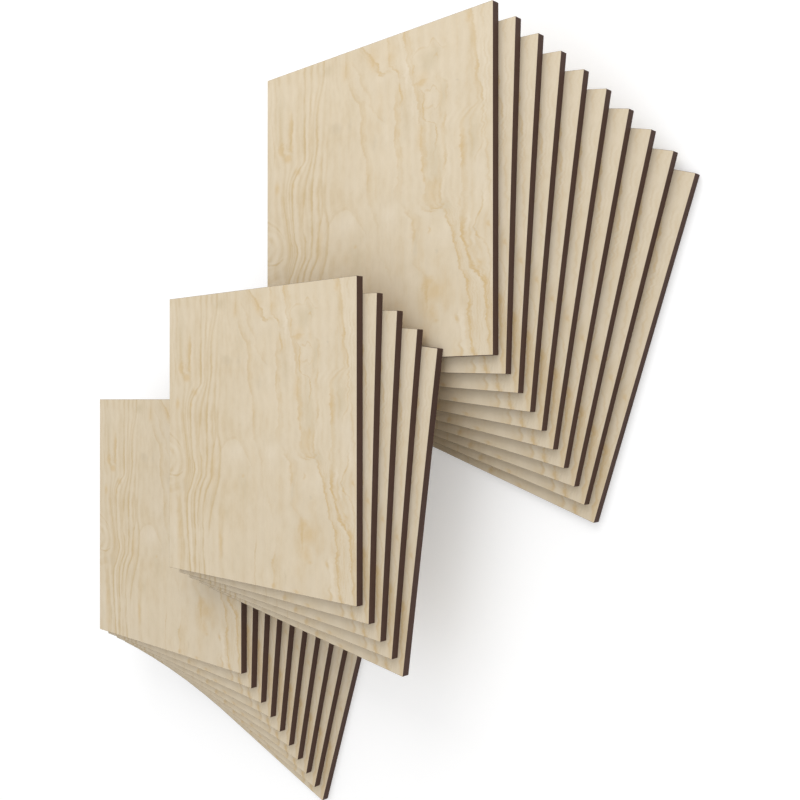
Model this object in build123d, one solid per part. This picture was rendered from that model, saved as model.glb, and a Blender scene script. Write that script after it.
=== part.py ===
from build123d import *
import os

# Stack of plywood sheets: square sheets lie flat and face to face in three fanned stacks.
# Two stacks of ten lie on the ground, and a stack of five lies across both of them.
# Millimetres, +Z up. The origin is on the ground, in the middle of the whole pile.

# One sheet, cut square from plywood of one thickness
SHEET_SIDE = 254.0
SHEET_THICKNESS = 6.5

# Each fan: how far a sheet lies turned and moved from the sheet above it
FAN_TURN = 2.0
FAN_STEP_LEFT = 4.8
FAN_STEP_FRONT = 6.6

# Sheets in each of the two lower stacks, which are level, and in the upper one
LOWER_COUNT = 10
UPPER_COUNT = 5

# Free strips between the topmost sheets of the lower stacks, which lie corner to corner
AISLE_ACROSS = 31.5
AISLE_DEEP = 38.1

# The upper stack's topmost sheet, from midway between those of the lower stacks
UPPER_SHIFT_LEFT = 48.0
UPPER_SHIFT_FRONT = 40.0


def sheet():
    """One sheet, with its back left corner at the origin and its underside at Z 0."""
    outline = Rectangle(SHEET_SIDE, SHEET_SIDE, align=(Align.MIN, Align.MAX))
    return extrude(outline, amount=SHEET_THICKNESS)


def fanned_stack(name, count, corner, underside):
    """Sheets numbered from the lowest. The topmost one lies square, with its back left
    corner at corner, and each one below it is turned clockwise about that corner."""
    sheets = {}
    for number in range(1, count + 1):
        sheets_above = count - number
        left = corner[0] - sheets_above * FAN_STEP_LEFT
        back = corner[1] - sheets_above * FAN_STEP_FRONT
        level = underside + (number - 1) * SHEET_THICKNESS
        turn = Rot(0, 0, -sheets_above * FAN_TURN)
        sheets[f"{name}_sheet_{number:02d}"] = Pos(left, back, level) * turn * sheet()
    return sheets


# Corners of the topmost sheets, from the left stack's
pitch_across = SHEET_SIDE + AISLE_ACROSS
pitch_deep = SHEET_SIDE + AISLE_DEEP
left_corner = (0, 0)
right_corner = (pitch_across, -pitch_deep)
upper_corner = (pitch_across / 2 - UPPER_SHIFT_LEFT, -pitch_deep / 2 - UPPER_SHIFT_FRONT)

pile = {
    **fanned_stack("left", LOWER_COUNT, left_corner, 0),
    **fanned_stack("right", LOWER_COUNT, right_corner, 0),
    **fanned_stack("upper", UPPER_COUNT, upper_corner, LOWER_COUNT * SHEET_THICKNESS),
}

# The pile is centred over the origin
box = Compound(list(pile.values())).bounding_box()
centred = Pos(-box.center().X, -box.center().Y, 0)

os.makedirs("parts", exist_ok=True)
for node, solid in pile.items():
    export_step(centred * solid, f"parts/{node}.step")
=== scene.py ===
import math
import random

import bmesh
import bpy
from mathutils import Matrix, Vector


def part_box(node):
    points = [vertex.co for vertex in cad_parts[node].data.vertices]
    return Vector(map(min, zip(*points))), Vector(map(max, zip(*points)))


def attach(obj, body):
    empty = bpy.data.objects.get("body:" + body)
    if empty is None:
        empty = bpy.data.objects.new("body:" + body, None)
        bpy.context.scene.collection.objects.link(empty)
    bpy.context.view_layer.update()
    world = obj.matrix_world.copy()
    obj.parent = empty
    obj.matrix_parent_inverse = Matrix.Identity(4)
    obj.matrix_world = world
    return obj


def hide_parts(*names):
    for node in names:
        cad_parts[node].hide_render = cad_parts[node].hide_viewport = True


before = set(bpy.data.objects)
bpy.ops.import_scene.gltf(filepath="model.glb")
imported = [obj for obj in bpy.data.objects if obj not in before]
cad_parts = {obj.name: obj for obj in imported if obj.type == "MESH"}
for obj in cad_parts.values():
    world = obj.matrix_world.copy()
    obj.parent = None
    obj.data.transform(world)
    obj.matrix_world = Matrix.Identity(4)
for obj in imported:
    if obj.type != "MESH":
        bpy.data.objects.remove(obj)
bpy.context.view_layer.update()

# Sheets: 25 square blanks of one plywood, laser cut side by side with their face grain one way.
# They lie loose and face to face in three fans: each is turned and shifted from the one above it,
# and the fan of five lies across both fans of ten. The cut leaves a crisp edge, barely eased.
stacks = {"left": 10, "right": 10, "upper": 5}
fan_turn = math.radians(2)
edge_easing = 0.00018
edge_steps = 2
corner_easing = 0.0006
corner_steps = 4
lies_flat = 0.99
tone_spread = 0.5

top_low, top_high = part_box("upper_sheet_05")
sheet_side = top_high.x - top_low.x
sheet_thickness = top_high.z - top_low.z


def lay_pattern(bm):
    """Gives each face its place on the sheet. The veneer runs from 0 to 1 across the sheet and up
    its grain, the back veneer is another leaf, turned end for end, and a cut edge counts its
    sides round the sheet and runs from 0 to 1 through the plies."""
    layer = bm.loops.layers.uv.new("sheet")
    for face in bm.faces:
        facing = face.normal
        for loop in face.loops:
            x, y = loop.vert.co.xy / sheet_side + Vector((0.5, 0.5))
            through = loop.vert.co.z / sheet_thickness + 0.5
            if facing.z > lies_flat:
                place = (1 - y, x)
            elif facing.z < -lies_flat:
                place = (1 - y, 1 - x)
            elif abs(facing.x) > abs(facing.y):
                place = (y + 2 * (facing.x > 0), through)
            else:
                place = (x + 1 + 2 * (facing.y > 0), through)
            loop[layer].uv = place


def cut_sheet(name, middle, turn):
    """One blank, with veneer on its two faces and the scorched cut all round. Its first material
    is for the faces and its second for the cut."""
    bm = bmesh.new()
    bmesh.ops.create_cube(bm, size=1)
    bmesh.ops.scale(bm, vec=(sheet_side, sheet_side, sheet_thickness), verts=bm.verts)
    corners = [e for e in bm.edges if abs((e.verts[0].co - e.verts[1].co).z) > sheet_thickness / 2]
    bmesh.ops.bevel(bm, geom=corners, offset=corner_easing, affect="EDGES", segments=corner_steps,
                    profile=0.5, material=-1)
    rims = [e for e in bm.edges if abs((e.verts[0].co - e.verts[1].co).z) < sheet_thickness / 2]
    bmesh.ops.bevel(bm, geom=rims, offset=edge_easing, affect="EDGES", segments=edge_steps,
                    profile=0.5, material=-1)
    bm.normal_update()
    lay_pattern(bm)
    for face in bm.faces:
        face.material_index = 0 if abs(face.normal.z) > lies_flat else 1
    bm.transform(Matrix.Translation(middle) @ Matrix.Rotation(turn, 4, "Z"))
    mesh = bpy.data.meshes.new(name)
    bm.to_mesh(mesh)
    bm.free()
    sheet = bpy.data.objects.new(name, mesh)
    bpy.context.scene.collection.objects.link(sheet)
    return sheet


draw = random.Random(25)
sheets = []
for stack, count in stacks.items():
    for number in range(1, count + 1):
        node = f"{stack}_sheet_{number:02d}"
        low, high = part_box(node)
        sheets_above = count - number
        sheet = cut_sheet(f"{stack}_plywood_{number:02d}", (low + high) / 2, -sheets_above * fan_turn)
        face_tones = sheet.data.attributes.new("leaf_tone", "FLOAT", "FACE")
        leaf_tone = draw.uniform(-tone_spread, tone_spread)
        for face_tone in face_tones.data:
            face_tone.value = leaf_tone
        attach(sheet, "root")
        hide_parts(node)
        sheets.append(sheet)

# Face veneer: rotary-cut softwood, sanded and raw, pale cream with soft amber latewood. Every
# blank was cut to the same part of the figure: wavy bands down the left around an eye at the
# edge, a quiet middle, and long ragged bands with an island between them on the right.
plain_wood = (0.674, 0.567, 0.408)
pale_wood = (0.726, 0.630, 0.485)
amber_wood = (0.590, 0.445, 0.245)
orange_wood = (0.615, 0.442, 0.218)
olive_wood = (0.570, 0.472, 0.312)
ash_wood = (0.545, 0.468, 0.345)

# Sections through a latewood line, as points of (place, tone) over the reach to both sides of it.
# A tone of 0 is plain wood, 1 full amber and below 0 paler wood, which lies against the sharp
# side, where one year's growth ends.
line_reach = 0.040
fades_left = ((0, 0), (.12, .14), (.20, .10), (.28, .42), (.35, .34), (.45, .92), (.51, 1), (.555, .20),
              (.60, -.36), (.68, -.42), (.80, -.15), (1, 0))
fades_right = ((0, 0), (.20, -.15), (.32, -.42), (.40, -.36), (.445, .20), (.49, 1), (.55, .92),
               (.65, .34), (.72, .42), (.80, .10), (.88, .14), (1, 0))
broad = ((0, 0), (.18, -.14), (.26, .04), (.34, .60), (.42, .55), (.48, .90), (.54, 1), (.62, .70),
         (.68, 0), (.76, -.32), (1, 0))
thread = ((0, 0), (.34, -.06), (.42, -.28), (.46, .40), (.50, 1), (.545, .50), (.59, -.24), (.68, -.08),
          (1, 0))

# Latewood lines, from left to right: the section, the strength as points of (down, strength),
# and the course as points of (down the sheet, across it)
LATEWOOD = {
    "left edge": (thread, ((0, .3), (.25, .5), (.33, .2), (.5, 0)), (
        (0, .022), (.12, .020), (.20, .030), (.26, .042), (.33, .030))),
    "left rim": (broad, ((0, .5), (.1, .4), (.2, .5), (.26, .5), (.3, .2), (.4, .3), (.46, .7),
                         (.54, .8), (.61, .6), (.67, .25), (.72, 0)), (
        (0, .058), (.17, .062), (.23, .072), (.27, .085), (.33, .090), (.45, .092), (.50, .100),
        (.56, .115), (.60, .125), (.64, .125), (.67, .115), (.70, .110))),
    "left foot": (broad, ((.69, 0), (.73, .6), (.88, .8), (1, .9)), (
        (.72, .065), (.78, .070), (.84, .075), (.88, .085), (.93, .090), (1, .085))),
    "knot streak": (fades_left, ((.11, 0), (.15, .7), (.2, 1), (.26, .8), (.315, 0)), (
        (.135, .137), (.20, .134), (.25, .127), (.28, .142), (.31, .120))),
    "first band": (fades_left, ((0, .8), (.2, .9), (.33, 1), (.6, 1), (.7, 1.1), (.85, 1.6),
                                (1, 1.5)), (
        (0, .200), (.10, .198), (.20, .200), (.28, .203), (.32, .196), (.343, .172), (.373, .146),
        (.41, .136), (.45, .137), (.50, .138), (.55, .143), (.59, .155), (.62, .165), (.655, .155),
        (.69, .140), (.72, .120), (.80, .115), (.87, .120), (.95, .130), (1, .135))),
    "second band": (fades_left, ((0, .6), (.35, .5), (.5, .7), (.7, .9), (.85, 1.3), (1, 1.4)), (
        (0, .240), (.10, .230), (.20, .232), (.28, .236), (.33, .229), (.36, .219), (.40, .207),
        (.45, .199), (.50, .191), (.55, .190), (.60, .205), (.64, .205), (.67, .190), (.69, .175),
        (.72, .165), (.80, .160), (.90, .165), (1, .165))),
    "third band": (fades_left, ((0, .6), (.3, .7), (.5, .9), (.66, .8), (.74, .7), (.85, .9),
                                (1, .9)), (
        (0, .300), (.05, .295), (.10, .280), (.15, .265), (.20, .260), (.27, .265), (.33, .250),
        (.40, .240), (.50, .238), (.60, .238), (.64, .235), (.67, .215), (.70, .200), (.75, .190),
        (.80, .180), (.90, .185), (1, .190))),
    "fourth band": (fades_left, ((.28, 0), (.33, .5), (.5, .6), (.55, 1), (.68, 1.1), (.75, .8),
                                 (.85, 1.4), (1, 1.4)), (
        (.30, .295), (.35, .285), (.40, .285), (.50, .290), (.55, .275), (.60, .268), (.64, .268),
        (.67, .255), (.70, .235), (.75, .220), (.80, .213), (.90, .213), (1, .225))),
    "fifth band": (fades_left, ((.28, 0), (.38, .3), (.5, .45), (.6, .7), (.7, .55), (.82, .8),
                                (.9, .5), (1, .5)), (
        (.25, .320), (.30, .315), (.35, .310), (.40, .303), (.50, .305), (.55, .318), (.60, .315),
        (.65, .310), (.70, .295), (.72, .285), (.78, .262), (.83, .250), (.90, .245), (1, .250))),
    "middle foot": (broad, ((.74, 0), (.79, .3), (.95, .4), (1, .3)), (
        (.78, .325), (.82, .322), (.87, .320), (.93, .318), (1, .335))),
    "foot wisp": (thread, ((.80, 0), (.88, .7), (1, .4)), (
        (.82, .520), (.90, .508), (1, .512))),
    "foot thread": (fades_right, ((.68, 0), (.71, .4), (.76, .2), (.82, .2), (.89, .8), (.94, .9),
                                  (1, .7)), (
        (.69, .572), (.73, .590), (.77, .610), (.80, .618), (.84, .620), (.88, .613), (.91, .605),
        (.95, .608), (1, .602))),
    "middle thread": (fades_right, ((.02, .4), (.05, .8), (.1, .7), (.2, .7), (.35, .6), (.5, .4),
                                    (.6, .2), (.66, 0)), (
        (.03, .400), (.10, .410), (.15, .440), (.18, .465), (.22, .472), (.30, .475), (.33, .480),
        (.37, .495), (.42, .500), (.50, .505), (.55, .530), (.58, .550))),
    "middle wisp": (fades_right, ((0, 0), (.05, .35), (.1, .5), (.19, .5), (.25, .45), (.3, 0)), (
        (.03, .425), (.07, .450), (.10, .465), (.17, .510), (.20, .515), (.24, .550), (.27, .575))),
    "crown": (fades_left, ((0, .9), (.04, 1.15), (.1, 1), (.13, .5), (.17, .5), (.21, .2), (.3, 0)), (
        (0, .480), (.03, .507), (.07, .535), (.10, .555), (.11, .572), (.12, .600), (.14, .622),
        (.17, .640), (.22, .650))),
    "crown side": (fades_right, ((.13, 0), (.2, .6), (.28, .8), (.35, .9), (.42, .6), (.5, .3),
                                 (.55, 0)), (
        (.12, .610), (.17, .622), (.22, .624), (.30, .620), (.35, .622), (.40, .632), (.45, .633),
        (.48, .620), (.52, .610))),
    "crown branch": (fades_right, ((0, .7), (.08, .6), (.14, .9), (.2, .8), (.25, 0)), (
        (0, .590), (.05, .592), (.09, .597), (.12, .628), (.17, .641), (.22, .645))),
    "crown root": (fades_right, ((.5, 0), (.55, .65), (.62, .9), (.67, .5), (.71, .2), (.76, .2),
                                 (.8, 0)), (
        (.50, .620), (.53, .640), (.56, .670), (.58, .685), (.62, .690), (.66, .690), (.70, .700),
        (.73, .720), (.75, .740))),
    "long band": (fades_right, ((0, 1), (.15, 1), (.25, .8), (.3, 1), (.4, 1), (.48, 1.1), (.53, .6),
                                (.6, 1), (.7, 1), (.8, .8), (1, .7)), (
        (0, .655), (.05, .663), (.10, .675), (.15, .685), (.19, .701), (.23, .716), (.28, .726),
        (.35, .727), (.40, .731), (.45, .735), (.48, .740), (.52, .745), (.55, .760), (.563, .785),
        (.57, .815), (.60, .840), (.63, .850), (.67, .860), (.70, .870), (.74, .880), (.77, .900),
        (.80, .913), (.90, .915), (.95, .917), (1, .932))),
    "long foot": (broad, ((.92, 0), (.955, .8), (1, 1)), (
        (.93, .914), (.955, .917), (.975, .924), (1, .932))),
    "island side": (fades_left, ((.14, 0), (.18, .6), (.3, .6), (.45, .7), (.53, .6), (.56, 0)), (
        (.17, .805), (.20, .825), (.30, .825), (.40, .823), (.45, .815), (.50, .805), (.55, .805))),
    "island crease": (thread, ((.16, 0), (.2, .7), (.3, .8), (.4, .6), (.47, 0)), (
        (.17, .722), (.22, .735), (.27, .738), (.33, .790), (.40, .775), (.47, .760))),
    "right band": (fades_left, ((0, .9), (.12, .9), (.25, .7), (.285, .4), (.31, 0)), (
        (0, .912), (.05, .927), (.10, .936), (.15, .941), (.20, .948), (.25, .955), (.275, .956),
        (.29, .925), (.30, .905))),
    "right bow": (fades_right, ((.27, 0), (.3, .3), (.34, .5), (.39, 1.1), (.44, 1), (.48, .6),
                                (.53, .5), (.6, .7), (.67, 1.2), (.73, 1), (.8, 1.1), (1, .8)), (
        (.28, .940), (.295, .910), (.33, .883), (.42, .885), (.50, .888), (.55, .890), (.60, .883),
        (.63, .886), (.67, .893), (.69, .910), (.72, .918), (.745, .923), (.76, .948), (.80, .968),
        (.85, .973), (.92, .983), (1, .988))),
    "blot side": (fades_left, ((.76, 0), (.79, .7), (.85, .6), (.88, 0)), (
        (.76, .742), (.80, .750), (.88, .752))),
    "right thread": (thread, ((.27, 0), (.3, .7), (.37, .8), (.43, .8), (.46, 0)), (
        (.28, .955), (.35, .963), (.40, .958), (.43, .935))),
    "right wisp": (thread, ((.45, 0), (.52, .4), (.6, .8), (.66, .7), (.7, .9), (.74, 0)), (
        (.50, .965), (.58, .955), (.62, .935), (.645, .940), (.67, .965), (.70, .985))),
    "right foot": (fades_left, ((.85, 0), (.88, .8), (.92, .7), (1, 1)), (
        (.87, .873), (.92, .877), (1, .886))),
    "outer thread": (thread, ((0, .5), (.2, .6), (.35, .5), (.6, .3), (1, .4)), (
        (0, .962), (.10, .970), (.20, .975), (.35, .972), (.45, .982), (.70, .993), (1, .945))),
}

# Lines that lie across the grain, where the knife left and met a year's growth. Their points are
# (across, strength) and (across the sheet, down it), and their left is up the sheet.
CROSSINGS = {
    "island crown": (thread, ((.68, 0), (.70, .4), (.76, .6), (.80, .6), (.83, 0)), (
        (.690, .100), (.705, .075), (.730, .068), (.755, .072), (.768, .055), (.778, .048),
        (.790, .062), (.805, .090))),
    "island dash": (thread, ((.69, 0), (.705, .3), (.75, .3), (.765, 0)), (
        (.700, .172), (.730, .165), (.755, .168))),
    "island arch": (thread, ((.752, 0), (.765, .5), (.792, .6), (.803, 0)), (
        (.755, .160), (.765, .122), (.780, .103), (.790, .112), (.800, .150))),
    "loop crown": (thread, ((.725, 0), (.74, .6), (.79, .7), (.81, 0)), (
        (.735, .215), (.745, .198), (.760, .205), (.775, .190), (.790, .200), (.800, .220))),
    "loop foot": (thread, ((.725, 0), (.745, .5), (.79, .6), (.81, 0)), (
        (.735, .235), (.755, .255), (.770, .250), (.785, .262), (.800, .250))),
    "island floor": (fades_left, ((.70, 0), (.73, .5), (.81, .6), (.84, 0)), (
        (.720, .535), (.745, .557), (.770, .565), (.800, .560), (.820, .545))),
    "crown sill": (fades_left, ((.53, 0), (.55, .9), (.60, .7), (.63, .4), (.65, 0)), (
        (.530, .085), (.550, .105), (.563, .116), (.580, .106), (.600, .112), (.625, .135))),
    "arch": (fades_left, ((.27, 0), (.31, .3), (.36, .5), (.45, .45), (.50, .2), (.53, 0)), (
        (.290, .620), (.310, .565), (.340, .530), (.370, .513), (.400, .508), (.430, .525),
        (.460, .555), (.490, .600), (.500, .650))),
    "eye brow": (thread, ((0, .7), (.06, .7), (.11, 0)), (
        (0, .500), (.05, .522), (.08, .550), (.10, .580))),
    "eye sill": (thread, ((0, .8), (.08, .7), (.10, 0)), (
        (0, .652), (.05, .654), (.09, .640))),
    "eye foot": (broad, ((0, .4), (.05, .4), (.10, 0)), (
        (0, .708), (.04, .703), (.10, .690))),
}

# Lines that run the sheet's whole length, with how many faint growth bands lie before each, and
# how strong those bands are as points of (across, strength)
GROWTH = {"left rim": 2, "first band": 3, "third band": 3, "fifth band": 2,
          "middle thread": 5, "crown side": 4, "long band": 3, "right bow": 6}
last_bands = 4
growth_strength = ((0, .20), (.28, .20), (.36, .07), (.60, .08), (.68, .16), (1, .16))

# Soft blots in the wood: amber about the knot and on the right, olive where the latewood lies
# flat in the face, ash grey in the middle, and pale. Each is (across, down, half width, half
# height, depth).
AMBER_BLOTS = (
    (.082, .258, .028, .034, 1.2), (.130, .200, .016, .080, 1.1), (.112, .296, .032, .022, 1.3),
    (.134, .262, .016, .026, .9), (.055, .388, .022, .036, 1.1), (.165, .350, .026, .016, .9),
    (.140, .392, .014, .030, 1.), (.085, .270, .050, .070, .4), (.190, .480, .024, .110, .4),
    (.262, .200, .018, .140, .4), (.272, .620, .026, .100, .8), (.400, .070, .032, .065, .6),
    (.480, .280, .020, .140, .4), (.500, .425, .020, .065, .4), (.522, .050, .040, .056, .8),
    (.600, .060, .034, .055, .7), (.632, .180, .024, .085, .4), (.632, .340, .018, .105, .4),
    (.728, .172, .026, .016, 1.2), (.728, .155, .040, .034, .5), (.722, .330, .024, .075, .7),
    (.735, .425, .022, .065, .6), (.770, .510, .052, .065, .8), (.690, .610, .024, .085, .6),
    (.752, .778, .044, .036, 1.0), (.782, .802, .058, .056, 1.1), (.775, .860, .036, .060, .8),
    (.896, .665, .014, .036, .8), (.926, .090, .026, .100, .6), (.888, .390, .024, .105, .6),
    (.955, .735, .022, .026, .6), (.972, .785, .014, .028, 1.2), (.880, .555, .014, .036, .7),
    (.870, .888, .012, .022, 1.1), (.757, .620, .010, .018, 1.), (.737, .467, .012, .030, .8),
    (.520, .068, .018, .030, 1.), (.905, .028, .016, .030, .9), (.693, .130, .010, .038, .9),
    (.785, .892, .018, .012, .9), (.989, .625, .013, .016, 1.2), (.316, .880, .017, .080, 1.),
    (.335, .780, .030, .060, .3), (.448, .632, .014, .009, .8), (.065, .860, .034, .170, .7),
    (.738, .245, .020, .055, .5), (.905, .930, .010, .100, .5), (.722, .992, .018, .014, 1.2),
    (.605, .988, .018, .012, 1.1), (.927, .985, .016, .020, .9), (.946, .735, .013, .030, .8))
OLIVE_BLOTS = (
    (.760, .110, .064, .055, 1.), (.815, .230, .022, .085, .9), (.775, .420, .048, .135, 1.),
    (.925, .370, .042, .095, 1.), (.070, .130, .052, .165, .7), (.320, .040, .062, .032, .9),
    (.300, .140, .042, .085, .5), (.820, .560, .042, .038, .8), (.440, .180, .044, .085, .5),
    (.665, .270, .028, .125, .6), (.420, .900, .110, .110, .4), (.600, .920, .065, .075, .5),
    (.450, .665, .045, .090, .8), (.355, .770, .028, .040, .7), (.640, .955, .007, .030, .8),
    (.670, .948, .007, .036, .8), (.917, .095, .019, .060, .8))
ASH_BLOTS = (
    (.355, .240, .045, .030, .9), (.420, .240, .024, .030, .8), (.560, .250, .040, .030, .6),
    (.870, .195, .008, .008, 1.), (.790, .685, .010, .010, .9), (.530, .330, .020, .050, .6),
    (.100, .690, .070, .035, .7), (.937, .635, .014, .016, .8), (.950, .983, .007, .012, .8),
    (.703, .665, .018, .070, .8))
PALE_BLOTS = (
    (.765, .225, .026, .034, 1.), (.400, .560, .075, .060, 1.), (.450, .430, .085, .095, .6),
    (.600, .560, .052, .070, .8), (.800, .640, .060, .060, .9), (.666, .120, .010, .090, 1.),
    (.692, .225, .012, .070, 1.), (.955, .480, .036, .135, .9), (.975, .200, .022, .260, .7),
    (.860, .910, .060, .090, 1.), (.860, .250, .032, .165, .6), (.030, .880, .032, .135, .9),
    (.520, .150, .042, .095, .5), (.580, .300, .032, .105, .5), (.867, .970, .011, .035, .9),
    (.904, .965, .009, .030, .9), (.906, .612, .013, .032, 1.1), (.932, .668, .014, .034, .9),
    (.932, .860, .012, .060, 1.), (.577, .955, .020, .060, .9), (.060, .722, .022, .024, .8),
    (.286, .030, .018, .030, .9), (.388, .700, .030, .045, .6), (.282, .478, .012, .040, .7))

# Eye at the left edge: rings drawn out along the grain about a buried knot, in an oval given as
# (across, down, half width, half height). They are clear in its middle and lost at its rim.
eye_oval = (-0.015, 0.600, 0.120, 0.088)
eye_rings = 2.5
eye_clear, eye_lost = 0.70, 1.05

# How far the lines stray. They drift slowly, and they are torn where the knife met them flat: least
# at the left, more to the right, as points of (across, size), and more about the knot.
drift_size = 0.014
tear_sizes = ((0, .014), (.40, .018), (.60, .055), (1, .050))
knot_blot = (0.095, 0.265, 0.085, 0.095, 1.0)
knot_tear = 0.05
tear_down = 0.030
nick_size = 0.005
breadth_change = 4.0
growth_drift = 1.6
ring_drift = 0.6

# Tone of each part of the figure, and how deep its colour lies over the wood's own. The latewood
# is amber on the left and turns orange on the right.
line_tone, line_tone_change = 0.63, 1.7
ring_tone, mottle_tone, strand_tone, drift_tone = 0.28, 0.9, 0.50, 1.2
pale_tone = -0.6
olive_depth, ash_depth, amber_depth, line_depth = 0.50, 0.40, 0.58, 0.85
amber_until, orange_from = 0.30, 0.70

# What the wood's parts add to its brightness and roughness, and to its relief in millimetres
plain_light, leaf_light, cloud_light = 0.993, 0.02, 0.06
fibre_light, strand_light = 0.05, 0.05
mottle_shade, line_shade, streak_shade, canal_shade = 0.07, 0.03, 0.06, 0.10
plain_roughness, fibre_roughness, line_gloss = 0.66, 0.10, 0.08
fibre_relief, strand_relief, canal_depth = 0.030, 0.020, 0.050
veneer_bump, veneer_shine = 0.6, 0.35
millimetre = 0.001

# How fast the fibres change from leaf to leaf, for each metre of height
leaf_change = 37.0

# The places of a Mix node's colour sockets, which share their names with other sockets
first_colour, second_colour, mixed_colour = 6, 7, 2


def bend_curve(mapping, places):
    """Leads a curve node's curve through these places."""
    mapping.use_clip = False
    mapping.extend = "HORIZONTAL"
    points = mapping.curves[0].points
    while len(points) < len(places):
        points.new(1, 1)
    for point, place in zip(points, places):
        point.location = place
        point.handle_type = "AUTO_CLAMPED"
    mapping.update()


class Value:
    """A socket in a material. Expressions on it add Math nodes."""

    def __init__(self, tree, socket=None):
        self.tree = tree
        self.socket = socket

    def node(self, kind, settings=None, sockets=None, output=0):
        """Adds a node with these settings and with these values or links in its sockets. It gives
        back the named or numbered output, or the node where it has none."""
        new = self.tree.nodes.new(kind)
        for name, setting in (settings or {}).items():
            if name == "points":
                bend_curve(new.mapping, setting)
            else:
                setattr(new, name, setting)
        for name, given in (sockets or {}).items():
            if isinstance(given, Value):
                self.tree.links.new(given.socket, new.inputs[name])
            else:
                new.inputs[name].default_value = given
        return Value(self.tree, new.outputs[output]) if new.outputs else new

    def beside(self, output):
        """Another output of the node that this value comes from."""
        return Value(self.tree, self.socket.node.outputs[output])

    def maths(self, operation, *others):
        return self.node("ShaderNodeMath", {"operation": operation}, dict(enumerate((self, *others))))

    def __add__(self, other):
        return self.maths("ADD", other)

    def __sub__(self, other):
        return self.maths("SUBTRACT", other)

    def __mul__(self, other):
        return self.maths("MULTIPLY", other)

    def __truediv__(self, other):
        return self.maths("DIVIDE", other)

    def __rsub__(self, other):
        return self.node("ShaderNodeMath", {"operation": "SUBTRACT"}, {0: other, 1: self})

    __radd__ = __add__
    __rmul__ = __mul__

    def times_plus(self, factor, extra):
        return self.maths("MULTIPLY_ADD", factor, extra)

    def larger(self, other):
        return self.maths("MAXIMUM", other)

    def held(self):
        """The value kept between 0 and 1."""
        return self.node("ShaderNodeClamp", {}, {0: self})

    def eased(self, start, end):
        """0 before start, 1 past end, with a smooth rise between."""
        levels = {0: self, 1: start, 2: end, 3: 0.0, 4: 1.0}
        return self.node("ShaderNodeMapRange", {"interpolation_type": "SMOOTHSTEP"}, levels)

    def along(self, points):
        """What a smooth curve through these points gives for the value."""
        return self.node("ShaderNodeFloatCurve", {"points": points}, {"Value": self})

    def vector(self, y, z=0.0):
        return self.node("ShaderNodeCombineXYZ", {}, {0: self, 1: y, 2: z})

    def scaled(self, factors, shift=(0, 0, 0)):
        """This vector with its parts multiplied and shifted."""
        settings = {"operation": "MULTIPLY_ADD"}
        return self.node("ShaderNodeVectorMath", settings, {0: self, 1: factors, 2: shift})

    def wave(self):
        """A sine that rises and falls once for each 1 of the value."""
        return (self * (2 * math.pi)).maths("SINE")

    def length(self):
        return self.node("ShaderNodeVectorMath", {"operation": "LENGTH"}, {0: self}, "Value")

    def cloud(self, across, down, start, detail=2.0, roughness=0.5):
        """Soft noise from -0.5 to 0.5, with this many lumps across and down a sheet. Another start
        gives another pattern."""
        sockets = {"Vector": self.scaled((across, down, 1), (start, start, start)), "Scale": 1.0,
                   "Detail": detail, "Roughness": roughness}
        return self.node("ShaderNodeTexNoise", {}, sockets) - 0.5

    def tint(self, first, second):
        """The first colour where the value is 0, and the second where it is 1."""
        first = first if isinstance(first, Value) else (*first, 1)
        second = second if isinstance(second, Value) else (*second, 1)
        sockets = {"Factor": self, first_colour: first, second_colour: second}
        return self.node("ShaderNodeMix", {"data_type": "RGBA"}, sockets, mixed_colour)

    def lit(self, light):
        """This colour made brighter or darker by a factor."""
        settings = {"data_type": "RGBA", "blend_type": "MULTIPLY"}
        sockets = {"Factor": 1.0, first_colour: self, second_colour: light.vector(light, light)}
        return self.node("ShaderNodeMix", settings, sockets, mixed_colour)


def new_material(name):
    material = bpy.data.materials.new(name)
    material.use_nodes = True
    tree = material.node_tree
    tree.nodes.clear()
    return material, Value(tree)


def sheet_places(start):
    """Across the sheet, down it, and both with the height of the leaf as one vector."""
    place = start.node("ShaderNodeUVMap", {"uv_map": "sheet"})
    across = start.node("ShaderNodeSeparateXYZ", {}, {0: place})
    solid = start.node("ShaderNodeTexCoord", output="Object")
    height = start.node("ShaderNodeSeparateXYZ", {}, {0: solid}, "Z")
    down = 1 - across.beside("Y")
    return across, down, across.vector(down, height * leaf_change)


def finish_surface(material, start, colour, roughness, height, bump, shine):
    """Joins a colour, a roughness and a height in millimetres into the material's surface."""
    relief = {"Height": height, "Distance": millimetre, "Strength": bump}
    surface = start.node("ShaderNodeBsdfPrincipled", {}, {
        "Base Color": colour, "Roughness": roughness, "Specular IOR Level": shine,
        "Normal": start.node("ShaderNodeBump", {}, relief)})
    start.node("ShaderNodeOutputMaterial", {}, {"Surface": surface})
    return material


def distance_from(place, across, down, half_width, half_height):
    """0 in the middle of an oval and 1 on its rim."""
    factors = (1 / half_width, 1 / half_height, 0)
    return place.scaled(factors, (-across / half_width, -down / half_height, 0)).length()


def blots(place, spots, edge):
    """1 in the middle of a blot, 0 outside them all, with a soft ragged rim between."""
    deepest = None
    for *oval, depth in spots:
        level = distance_from(place, *oval).times_plus(-depth, depth)
        deepest = level if deepest is None else deepest.larger(level)
    return (deepest + edge).eased(0.0, 1.0)


def level_past(points):
    """The points and one more past each end of the sheet, so that their curve stays level there."""
    return (-0.1, points[0][1]), *points, (1.1, points[-1][1])


def growth_bands(lines, u, drift):
    """Faint bands that keep their distance between the sheet's long lines."""
    before = None
    phase = drift
    for name, bands in GROWTH.items():
        gap = lines[name] - before if before is not None else lines[name]
        reach = u - before if before is not None else u
        phase = (reach / gap).held().times_plus(bands, phase)
        before = lines[name]
    phase = ((u - before) / (1 - before)).held().times_plus(last_bands, phase)
    return phase.wave()


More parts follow.
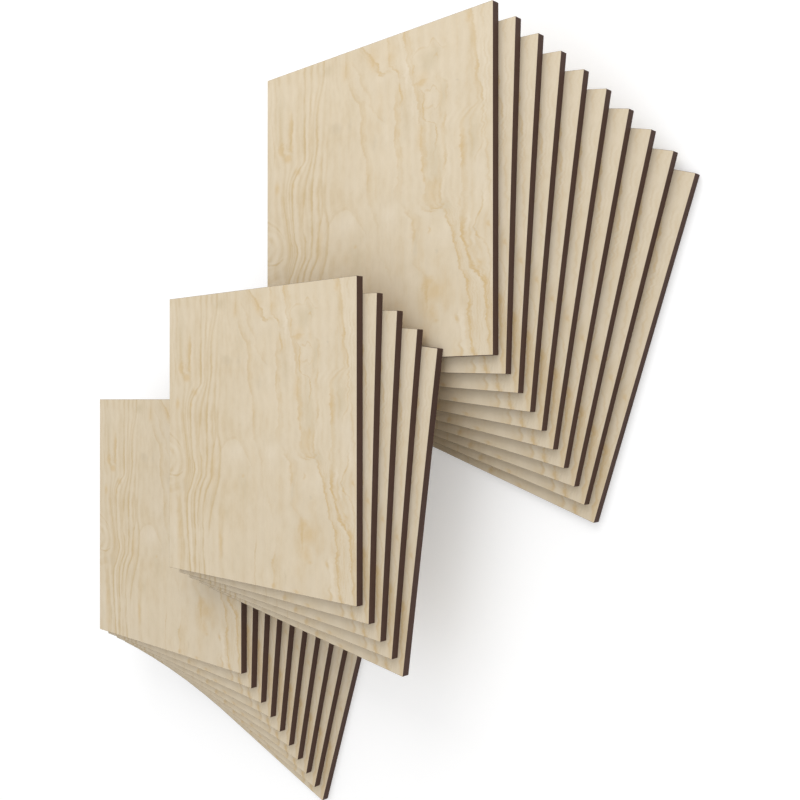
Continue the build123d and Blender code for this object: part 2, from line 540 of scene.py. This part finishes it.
def veneer():
    material, start = new_material("face_veneer")
    across, down, fibre_place = sheet_places(start)
    figure = across.vector(down)

    # The lines drift, and are torn and nicked
    drift = figure.cloud(2, 5, 3.0)
    torn = figure.cloud(8, 20, 7.0, 5.0, 0.68)
    nick = figure.cloud(30, 90, 1.0, 3.0)
    tear_size = across.along(tear_sizes) + blots(figure, (knot_blot,), 0.0) * knot_tear
    u = torn * tear_size + drift.times_plus(drift_size, across) + nick * nick_size
    v = torn.times_plus(-tear_down, down)
    place = u.vector(v)

    # Latewood lines, each of them stronger and broader here, weaker and narrower there
    patchy = figure.cloud(18, 15, 4.0, 4.0, 0.62)
    scale = (patchy * torn).times_plus(breadth_change, 1.0) * (0.5 / line_reach)
    back_scale = scale * -1.0
    section_place = u.times_plus(scale, 0.5)
    lines = {}
    tone = 0.0
    for name, (section, strength, course) in LATEWOOD.items():
        lines[name] = v.along(course)
        line = lines[name].times_plus(back_scale, section_place).along(section)
        tone = line.times_plus(v.along(level_past(strength)), tone)
    section_place = v.times_plus(scale, 0.5)
    for section, strength, course in CROSSINGS.values():
        line = u.along(course).times_plus(back_scale, section_place).along(section)
        tone = line.times_plus(u.along(level_past(strength)), tone)
    tone = tone * patchy.times_plus(line_tone_change, line_tone)
    bands = growth_bands(lines, u, drift * growth_drift) * across.along(growth_strength)
    eye = distance_from(place, *eye_oval)
    ring = eye.times_plus(eye_rings, drift * ring_drift).wave() * eye.eased(eye_lost, eye_clear)

    # Mottling, fibres, and the short dark threads of resin canals
    mottle = figure.cloud(30, 17, 2.0, 4.0, 0.65)
    strand = fibre_place.cloud(130, 4, 0.0, 3.0, 0.6)
    fibre = fibre_place.cloud(520, 9, 0.0, 2.0, 0.6)
    streaks = figure.cloud(150, 20, 6.0, 1.0).eased(0.20, 0.34)
    canals = fibre_place.cloud(900, 60, 0.0, 1.0).eased(0.20, 0.32)
    tone = tone + bands + ring * ring_tone + mottle * mottle_tone + strand * strand_tone
    tone = blots(place, PALE_BLOTS, patchy).times_plus(pale_tone, tone + drift * drift_tone)

    # Colour: pale and plain wood, then the blots, and the latewood over them all
    colour = (tone * -1.0).held().tint(plain_wood, pale_wood)
    for spots, depth, stained_wood in (
            (OLIVE_BLOTS, olive_depth, olive_wood), (ASH_BLOTS, ash_depth, ash_wood),
            (AMBER_BLOTS, amber_depth, orange_wood)):
        colour = (blots(place, spots, patchy) * depth).tint(colour, stained_wood)
    latewood = tone.held()
    line_wood = across.eased(amber_until, orange_from).tint(amber_wood, orange_wood)
    colour = (latewood * line_depth).tint(colour, line_wood)

    # Brightness, which also differs a little from leaf to leaf
    leaf_tone = start.node("ShaderNodeAttribute", {"attribute_name": "leaf_tone"}, output="Fac")
    cloudy = figure.cloud(4, 6, 9.0, 3.0)
    light = fibre.times_plus(fibre_light, plain_light) + strand * strand_light - mottle * mottle_shade
    light = light + cloudy * cloud_light - latewood * line_shade + leaf_tone * leaf_light
    light = light - streaks * streak_shade - canals * canal_shade
    roughness = fibre.times_plus(fibre_roughness, plain_roughness) - latewood * line_gloss
    height = fibre * fibre_relief + strand * strand_relief - canals * canal_depth
    colour = colour.lit(light)
    return finish_surface(material, start, colour, roughness, height, veneer_bump, veneer_shine)


# Cut edges: the laser chars all plies alike to a matt dark brown, with fine upright striations.
# The plies barely show: the glue lines between them are a little darker and burnt a little deeper.
char_brown = (0.090, 0.048, 0.035)
char_dark = (0.052, 0.0275, 0.020)
ply_count = 5
ply_waver = 0.03
glue_breadth = 0.28
plain_dark, glue_dark = 0.35, 0.25
striation_dark, soot_dark, grain_dark = 0.5, 0.9, 0.4
char_roughness, soot_roughness = 0.72, 0.15
striation_relief, grain_relief, glue_relief = 0.050, 0.020, 0.030
edge_bump, edge_shine = 0.7, 0.3


def cut_edge():
    material, start = new_material("charred_edge")
    along_edge, through, place = sheet_places(start)
    waver = place.cloud(30, 1, 4.0)
    plies = waver.times_plus(ply_waver, through) * (ply_count * math.pi)
    glue = plies.maths("SINE").maths("ABSOLUTE").eased(glue_breadth, 0.0)
    striation = place.cloud(700, 1.5, 0.0, 2.0, 0.6)
    soot = place.cloud(24, 2, 5.0, 4.0, 0.6)
    grain = place.cloud(1400, 36, 0.0)
    darkness = striation * striation_dark + soot * soot_dark + grain * grain_dark
    darkness = (darkness + glue.times_plus(glue_dark, plain_dark)).held()
    colour = darkness.tint(char_brown, char_dark)
    roughness = soot.times_plus(soot_roughness, char_roughness)
    height = striation * striation_relief + grain * grain_relief - glue * glue_relief
    return finish_surface(material, start, colour, roughness, height, edge_bump, edge_shine)


face_material = veneer()
edge_material = cut_edge()
for sheet in sheets:
    sheet.data.materials.append(face_material)
    sheet.data.materials.append(edge_material)

# Floor: plain, pale and matt, level under the pile. It keeps the pile's soft shadow, and it is
# brightened to white for the camera and in reflections.
floor_half = 6.0
floor_white = 0.80
floor_roughness = 0.9
floor_lift = 0.30


def background_rays(start):
    """1 where a ray from the camera, a reflection or a clear material meets the background."""
    camera_ray = start.node("ShaderNodeLightPath", output="Is Camera Ray")
    seen = camera_ray.larger(camera_ray.beside("Is Glossy Ray"))
    return seen.larger(camera_ray.beside("Is Transmission Ray"))


bm = bmesh.new()
bmesh.ops.create_grid(bm, x_segments=1, y_segments=1, size=floor_half)
mesh = bpy.data.meshes.new("floor")
bm.to_mesh(mesh)
bm.free()
floor = bpy.data.objects.new("floor", mesh)
bpy.context.scene.collection.objects.link(floor)
material, start = new_material("pale_floor")
lift = background_rays(start) * floor_lift
surface = start.node("ShaderNodeBsdfPrincipled", {}, {
    "Base Color": (floor_white, floor_white, floor_white, 1), "Roughness": floor_roughness,
    "Specular IOR Level": 0.0, "Emission Color": lift.vector(lift, lift), "Emission Strength": 1.0})
start.node("ShaderNodeOutputMaterial", {}, {"Surface": surface})
floor.data.materials.append(material)

# Light: an even studio dome, and one broad soft lamp low over the pile's right side. Together
# they are at the level at which the wood keeps its own colour.
dome_level = 0.84
key_place = Vector((1.25, -0.10, 0.88))
key_side = 1.1
key_power = 8.0

world = bpy.data.worlds.new("studio")
world.use_nodes = True
world.node_tree.nodes.clear()
start = Value(world.node_tree)
strength = background_rays(start) * (1 - dome_level) + dome_level
sky = start.node("ShaderNodeBackground", {}, {"Color": (1, 1, 1, 1), "Strength": strength})
start.node("ShaderNodeOutputWorld", {}, {"Surface": sky})
bpy.context.scene.world = world

lamp = bpy.data.lights.new("key", "AREA")
lamp.shape = "SQUARE"
lamp.size = key_side
lamp.energy = key_power
key = bpy.data.objects.new("key", lamp)
key.location = key_place
key.rotation_euler = key_place.to_track_quat("Z", "Y").to_euler()
bpy.context.scene.collection.objects.link(key)

# Camera: it looks down on the pile from the front, rolled a quarter turn, so that the sheets
# stand one before another in the frame
camera_place = Vector((0.04436, -0.62795, 0.60840))
camera_dip = math.radians(46.887)
camera_lens = 42.92
look = Vector((0, math.cos(camera_dip), -math.sin(camera_dip)))
frame_up = Vector((1, 0, 0))
frame_right = look.cross(frame_up)
camera_data = bpy.data.cameras.new("camera")
camera_data.lens = camera_lens
camera = bpy.data.objects.new("camera", camera_data)
turn = Matrix((frame_right, frame_up, -look)).transposed().to_4x4()
camera.matrix_world = Matrix.Translation(camera_place) @ turn
bpy.context.scene.collection.objects.link(camera)
bpy.context.scene.camera = camera
bpy.context.scene.view_settings.view_transform = "Standard"
